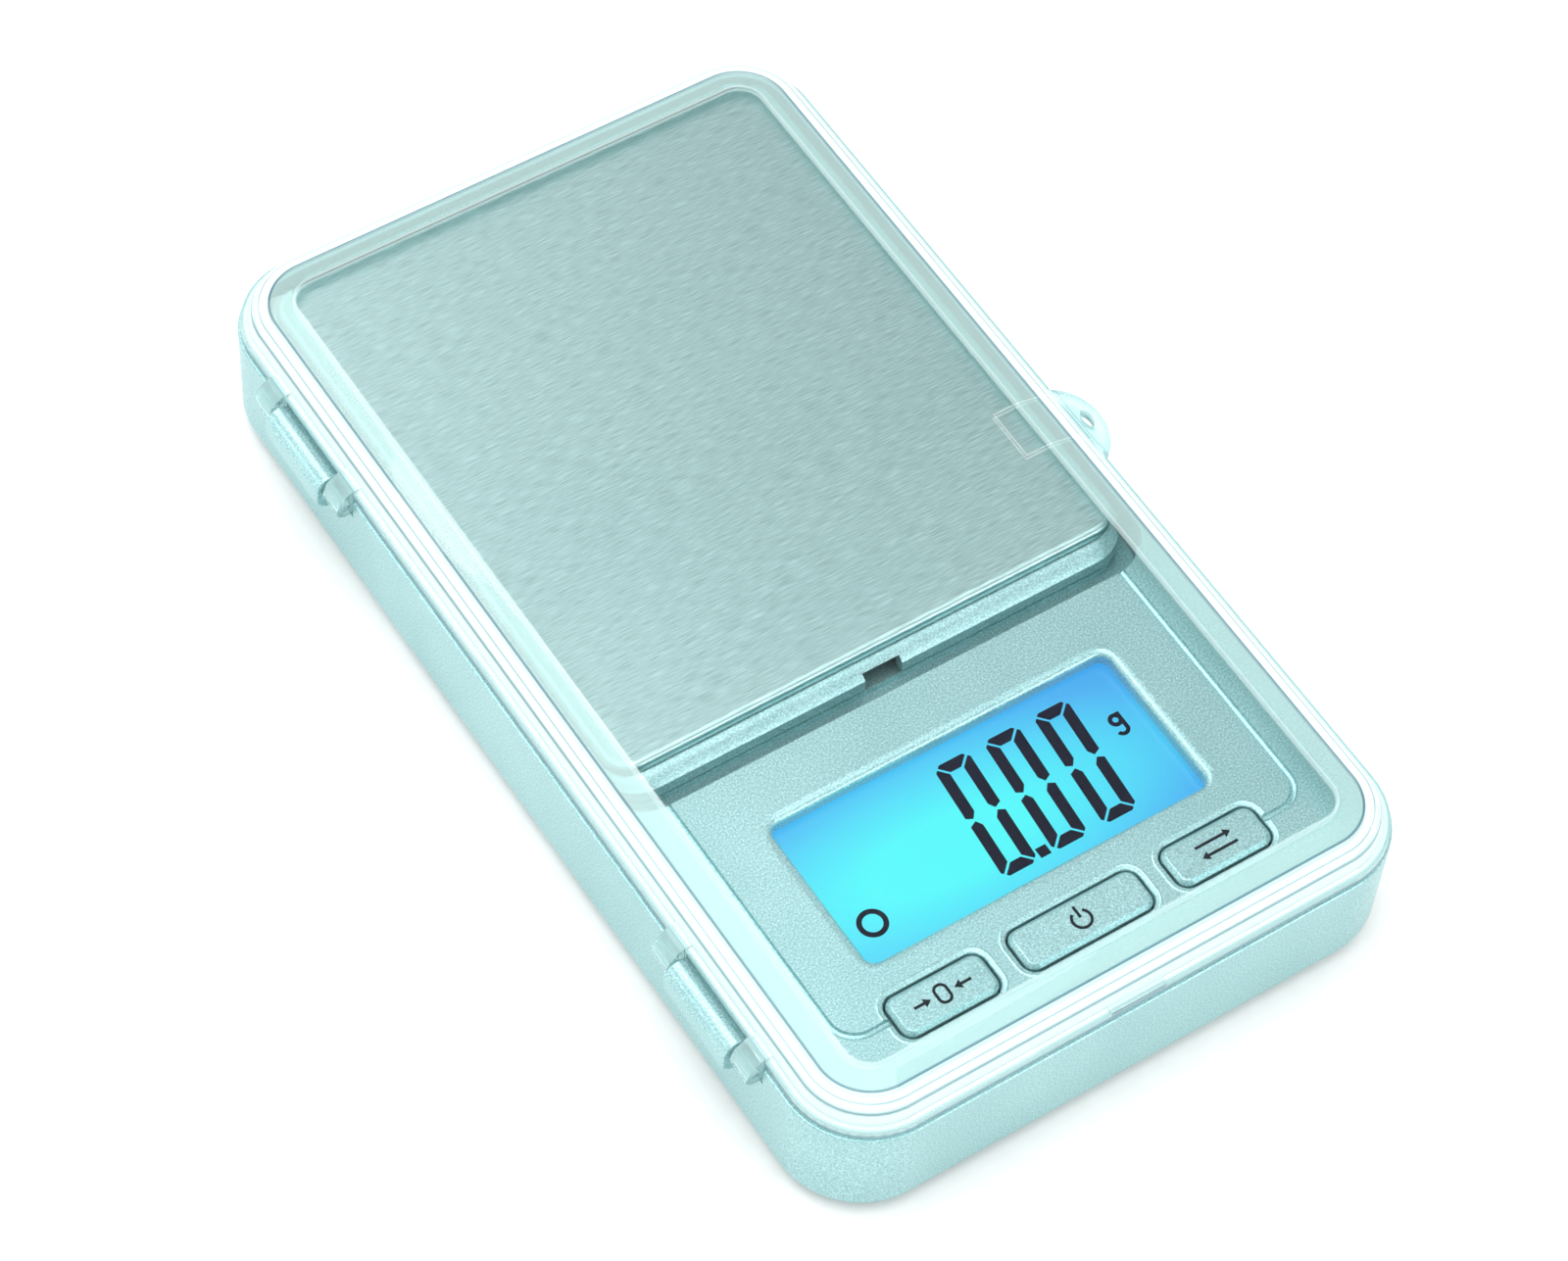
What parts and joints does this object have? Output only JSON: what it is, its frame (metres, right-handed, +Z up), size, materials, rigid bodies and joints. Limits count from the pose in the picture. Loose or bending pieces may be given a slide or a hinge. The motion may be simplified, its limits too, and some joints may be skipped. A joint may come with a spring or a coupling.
{
  "type": "digital gram scale",
  "caption": "Pocket electronic scale with a brushed steel weighing tray, backlit display, push buttons and a hinged clear lid with a finger tab.",
  "frame": {"origin": "centre of the footprint, on the surface the feet stand on", "axes": "+Z up, +Y towards the weighing end, -Y towards the display and buttons, lid hinged along the -X side"},
  "size_m": [0.0736, 0.12, 0.0186],
  "materials": {
    "silver_plastic": "painted silver satin ABS",
    "clear_plastic": "clear polished acrylic",
    "brushed_steel": "brushed stainless sheet",
    "plated_steel": "zinc and nickel plated steel",
    "aluminium": "machined aluminium",
    "black_rubber": "matt rubber",
    "circuit_board": "green solder resist",
    "black_plastic": "moulded black",
    "white_plastic": "moulded white",
    "backlight": "light guide",
    "lcd_glass": "lit display glass",
    "battery_wrap": "printed plastic sleeve"
  },
  "bodies": {
    "base": {"bottom_case": "silver_plastic", "top_case": "silver_plastic", "hinge_pin_front": "plated_steel", "hinge_pin_rear": "plated_steel", "case_screw_front_left": "plated_steel", "case_screw_front_right": "plated_steel", "case_screw_rear_left": "plated_steel", "case_screw_rear_right": "plated_steel", "foot_front_left": "black_rubber", "foot_front_right": "black_rubber", "foot_rear_left": "black_rubber", "foot_rear_right": "black_rubber", "load_cell": "aluminium", "strain_gauge_top": "white_plastic", "strain_gauge_bottom": "white_plastic", "cell_mount_screw_1": "plated_steel", "cell_mount_screw_2": "plated_steel", "main_board": "circuit_board", "controller_chip": "black_plastic", "lcd_frame": "white_plastic", "backlight_panel": "backlight", "lcd_connector_strip": "black_rubber", "lcd_glass": "lcd_glass", "board_screw_left": "plated_steel", "board_screw_right": "plated_steel", "switch_left": "black_plastic", "switch_centre": "black_plastic", "switch_right": "black_plastic", "battery_front": "battery_wrap", "battery_rear": "battery_wrap", "contact_bridge": "plated_steel", "contact_plate_front": "plated_steel", "contact_plate_rear": "plated_steel", "contact_spring_front": "plated_steel", "contact_spring_rear": "plated_steel"},
    "lid": {"lid": "clear_plastic"},
    "platform": {"weighing_tray": "brushed_steel", "pan_carrier": "silver_plastic", "carrier_screw_1": "plated_steel", "carrier_screw_2": "plated_steel"},
    "left_button": {"button_left": "silver_plastic"},
    "centre_button": {"button_centre": "silver_plastic"},
    "right_button": {"button_right": "silver_plastic"},
    "battery_cover": {"battery_door": "silver_plastic"}
  },
  "joints": [
    {"name": "lid_hinge", "type": "hinge", "parent": "base", "child": "lid", "pos_m": [-0.0352, 0, 0.0132], "axis": [0, -1, 0], "range_deg": [0, 140]},
    {"name": "platform_press", "type": "slide", "parent": "base", "child": "platform", "axis": [0, 0, -1], "range_m": [0, 0.0003], "stiffness_N_per_m": 20000},
    {"name": "left_button_press", "type": "slide", "parent": "base", "child": "left_button", "axis": [0, 0, -1], "range_m": [0, 0.00025], "stiffness_N_per_m": 500},
    {"name": "centre_button_press", "type": "slide", "parent": "base", "child": "centre_button", "axis": [0, 0, -1], "range_m": [0, 0.00025], "stiffness_N_per_m": 500},
    {"name": "right_button_press", "type": "slide", "parent": "base", "child": "right_button", "axis": [0, 0, -1], "range_m": [0, 0.00025], "stiffness_N_per_m": 500},
    {"name": "battery_cover_slide", "type": "slide", "parent": "base", "child": "battery_cover", "axis": [0, 1, 0], "range_m": [0, 0.02]}
  ]
}
